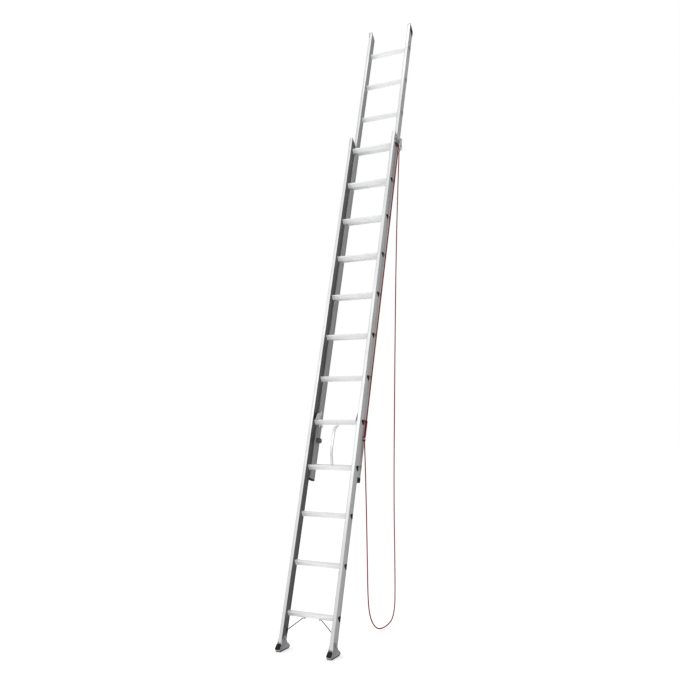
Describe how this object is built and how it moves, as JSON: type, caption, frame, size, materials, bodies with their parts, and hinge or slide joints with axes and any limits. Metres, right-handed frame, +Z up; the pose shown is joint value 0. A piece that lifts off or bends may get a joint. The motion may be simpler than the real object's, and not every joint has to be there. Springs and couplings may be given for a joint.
{
  "type": "extension ladder",
  "caption": "Leaning aluminium extension ladder: a fly section slides behind the base section on a red rope and pulley, with rung locks, a carry handle and swivelling feet.",
  "frame": {"origin": "on the floor, midway between the two foot pivots and straight under them", "axes": "+Z up, +X to the climber's right along the rungs, +Y towards the wall the ladder leans on; the sections lean 74 degrees from the floor"},
  "size_m": [0.4502, 1.5912, 5.0531],
  "materials": {
    "rail_aluminium": "mill-finish extrusion",
    "rung_aluminium": "mill-finish extrusion, grooved tread",
    "cast_aluminium": "as cast",
    "zinc_steel": "zinc plated",
    "pale_nylon": "moulded, satin",
    "black_plastic": "moulded, satin",
    "black_rubber": "ribbed rubber",
    "red_rope": "braided synthetic rope"
  },
  "bodies": {
    "base": {"base_rail_left": "rail_aluminium", "base_rail_right": "rail_aluminium", "base_rung_01": "rung_aluminium", "base_rung_02": "rung_aluminium", "base_rung_03": "rung_aluminium", "base_rung_04": "rung_aluminium", "base_rung_05": "rung_aluminium", "base_rung_06": "rung_aluminium", "base_rung_07": "rung_aluminium", "base_rung_08": "rung_aluminium", "base_rung_09": "rung_aluminium", "base_rung_10": "rung_aluminium", "base_rung_11": "rung_aluminium", "base_rung_12": "rung_aluminium", "base_brace_left": "zinc_steel", "base_brace_right": "zinc_steel", "base_guide_left": "zinc_steel", "base_guide_right": "zinc_steel", "carry_handle": "rung_aluminium", "pulley_bracket": "zinc_steel", "pulley_axle": "zinc_steel", "foot_pin_left": "zinc_steel", "foot_pin_right": "zinc_steel", "rope_running": "red_rope", "rope_hanging": "red_rope", "rope_tail": "red_rope"},
    "fly": {"fly_rail_left": "rail_aluminium", "fly_rail_right": "rail_aluminium", "fly_rung_01": "rung_aluminium", "fly_rung_02": "rung_aluminium", "fly_rung_03": "rung_aluminium", "fly_rung_04": "rung_aluminium", "fly_rung_05": "rung_aluminium", "fly_rung_06": "rung_aluminium", "fly_rung_07": "rung_aluminium", "fly_rung_08": "rung_aluminium", "fly_rung_09": "rung_aluminium", "fly_rung_10": "rung_aluminium", "fly_rung_11": "rung_aluminium", "fly_rung_12": "rung_aluminium", "fly_top_cap_left": "black_plastic", "fly_top_cap_right": "black_plastic", "fly_end_cap_left": "black_plastic", "fly_end_cap_right": "black_plastic", "lock_bracket_left": "black_plastic", "lock_bracket_right": "black_plastic", "lock_pin_left": "zinc_steel", "lock_pin_right": "zinc_steel", "lock_spring_left": "zinc_steel", "lock_spring_right": "zinc_steel", "rope_eye": "zinc_steel"},
    "lock_left": {"lock_hook_left": "zinc_steel"},
    "lock_right": {"lock_hook_right": "zinc_steel"},
    "pulley": {"pulley_wheel": "pale_nylon"},
    "foot_left": {"foot_casting_left": "cast_aluminium", "foot_pad_left": "black_rubber", "foot_toe_left": "black_rubber"},
    "foot_right": {"foot_casting_right": "cast_aluminium", "foot_pad_right": "black_rubber", "foot_toe_right": "black_rubber"}
  },
  "joints": [
    {"name": "fly_slide", "type": "slide", "parent": "base", "child": "fly", "axis": [0, 0.2756, 0.9613], "range_m": [-1.02, 1.428], "deforming": ["rope_running", "rope_tail"]},
    {"name": "lock_left_pivot", "type": "hinge", "parent": "fly", "child": "lock_left", "pos_m": [-0.1665, 0.4687, 1.54277], "axis": [-1, 0, 0], "range_deg": [0, 25], "deforming": ["lock_spring_left"]},
    {"name": "lock_right_pivot", "type": "hinge", "parent": "fly", "child": "lock_right", "pos_m": [0.1665, 0.4687, 1.54277], "axis": [-1, 0, 0], "range_deg": [0, 25], "deforming": ["lock_spring_right"]},
    {"name": "pulley_spin", "type": "hinge", "parent": "base", "child": "pulley", "pos_m": [0.2196, 1.14972, 3.82736], "axis": [-1, 0, 0], "continuous": true},
    {"name": "foot_left_swivel", "type": "hinge", "parent": "base", "child": "foot_left", "pos_m": [-0.1955, 0, 0.07178], "axis": [1, 0, 0], "range_deg": [-12, 12]},
    {"name": "foot_right_swivel", "type": "hinge", "parent": "base", "child": "foot_right", "pos_m": [0.1955, 0, 0.07178], "axis": [1, 0, 0], "range_deg": [-12, 12]}
  ],
  "couplings": [
    {"joint": "pulley_spin", "follows": "fly_slide", "rad_per_m": 35.088}
  ]
}
